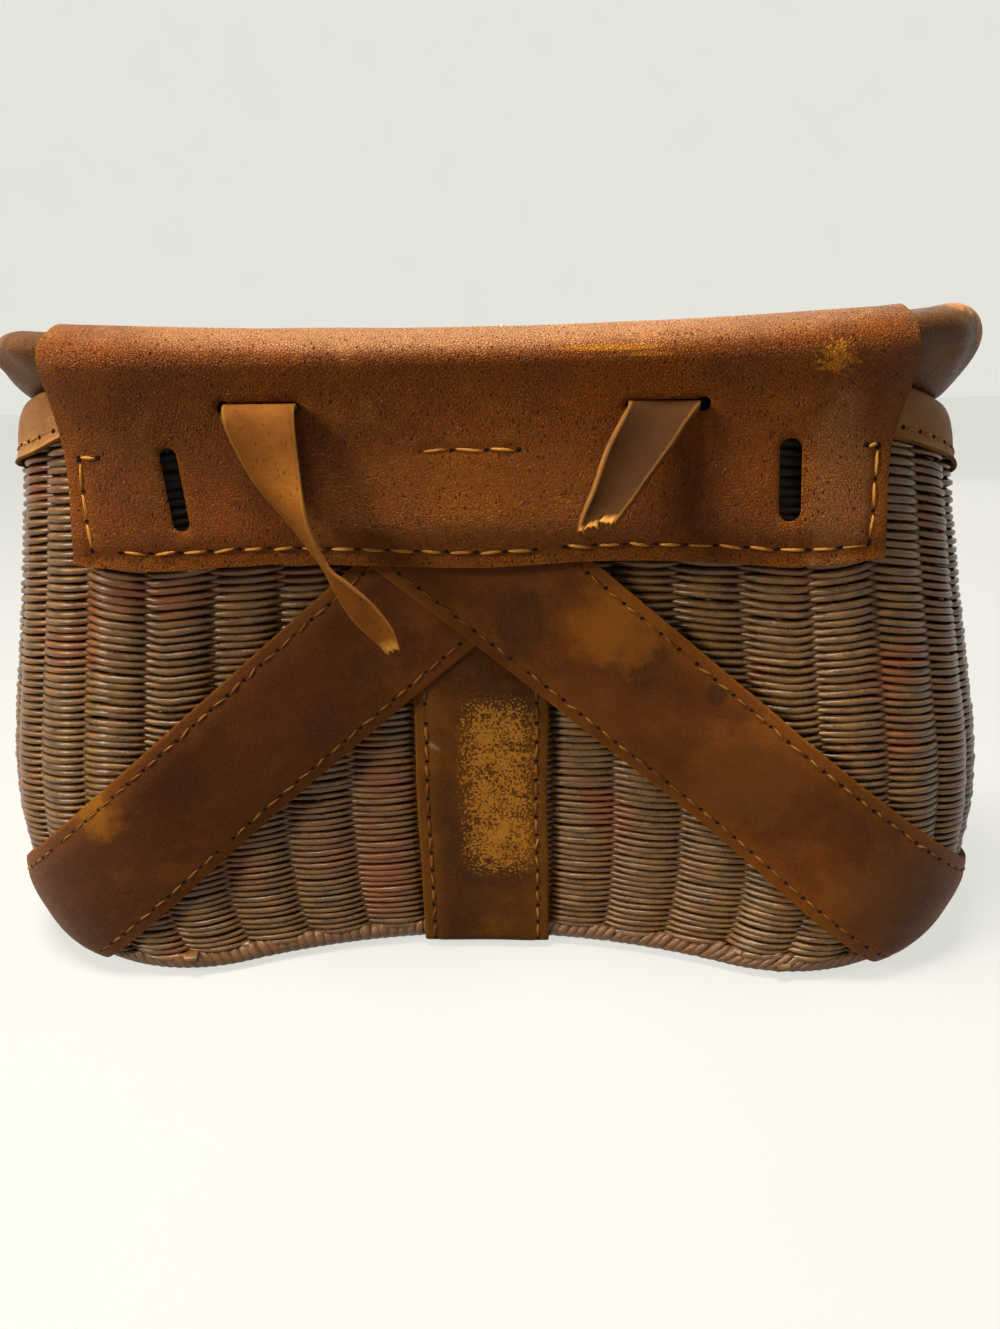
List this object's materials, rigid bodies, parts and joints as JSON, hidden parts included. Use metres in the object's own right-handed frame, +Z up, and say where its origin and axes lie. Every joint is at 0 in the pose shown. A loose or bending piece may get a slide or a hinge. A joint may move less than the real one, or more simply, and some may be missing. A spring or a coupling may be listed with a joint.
{
  "type": "wicker fishing creel",
  "caption": "Kidney-shaped wicker creel bound in leather: hinged lid with a fish hole, slotted leather flap on the back, crossed straps, two thongs and a buckled front strap.",
  "frame": {"origin": "middle of the whole creel's footprint, on the surface it stands on", "axes": "+X along the length, +Y from the hollow back, which lies on the hip, to the bowed front, +Z up"},
  "size_m": [0.4012, 0.197, 0.2462],
  "materials": {
    "wicker": "aged, split willow, soft sheen",
    "leather": "worn pigskin, satin",
    "thong_leather": "rough, suede side out",
    "brass": "dull, aged"
  },
  "bodies": {
    "basket": {"body_weave": "wicker", "foot_border": "wicker", "base_weave": "wicker", "rim_hoop": "wicker", "rim_binding": "leather", "centre_strap": "leather", "cross_strap_left": "leather", "cross_strap_right": "leather", "flap_back": "leather", "thong_root_left": "thong_leather", "thong_root_right": "thong_leather", "billet": "leather", "billet_rivets": "brass"},
    "lid": {"flap_top": "leather", "lid_panel": "wicker", "lid_border": "wicker", "lid_binding": "leather", "fish_hole_trim": "leather", "strap_anchor": "leather", "anchor_rivets": "brass"},
    "closer": {"closing_strap": "leather", "strap_keeper": "leather"},
    "buckle": {"buckle_frame": "brass"},
    "prong": {"buckle_prong": "brass"},
    "left_thong": {"thong_left": "thong_leather"},
    "right_thong": {"thong_right": "thong_leather"}
  },
  "joints": [
    {"name": "lid_hinge", "type": "hinge", "parent": "basket", "child": "lid", "pos_m": [0, -0.08311, 0.222], "axis": [1, 0, 0], "range_deg": [0, 100]},
    {"name": "closing_strap_swing", "type": "hinge", "parent": "lid", "child": "closer", "pos_m": [0, 0.09029, 0.238], "axis": [1, 0, 0], "range_deg": [0, 100]},
    {"name": "buckle_swing", "type": "hinge", "parent": "closer", "child": "buckle", "pos_m": [0, 0.09029, 0.172], "axis": [1, 0, 0], "range_deg": [0, 120]},
    {"name": "prong_swing", "type": "hinge", "parent": "buckle", "child": "prong", "pos_m": [0, 0.09029, 0.172], "axis": [1, 0, 0], "range_deg": [0, 120]},
    {"name": "thong_left_swing", "type": "hinge", "parent": "basket", "child": "left_thong", "pos_m": [-0.067, -0.08131, 0.2164], "axis": [-1, 0, 0], "range_deg": [0, 60]},
    {"name": "thong_right_swing", "type": "hinge", "parent": "basket", "child": "right_thong", "pos_m": [0.0635, -0.08131, 0.2164], "axis": [-1, 0, 0], "range_deg": [0, 60]}
  ]
}
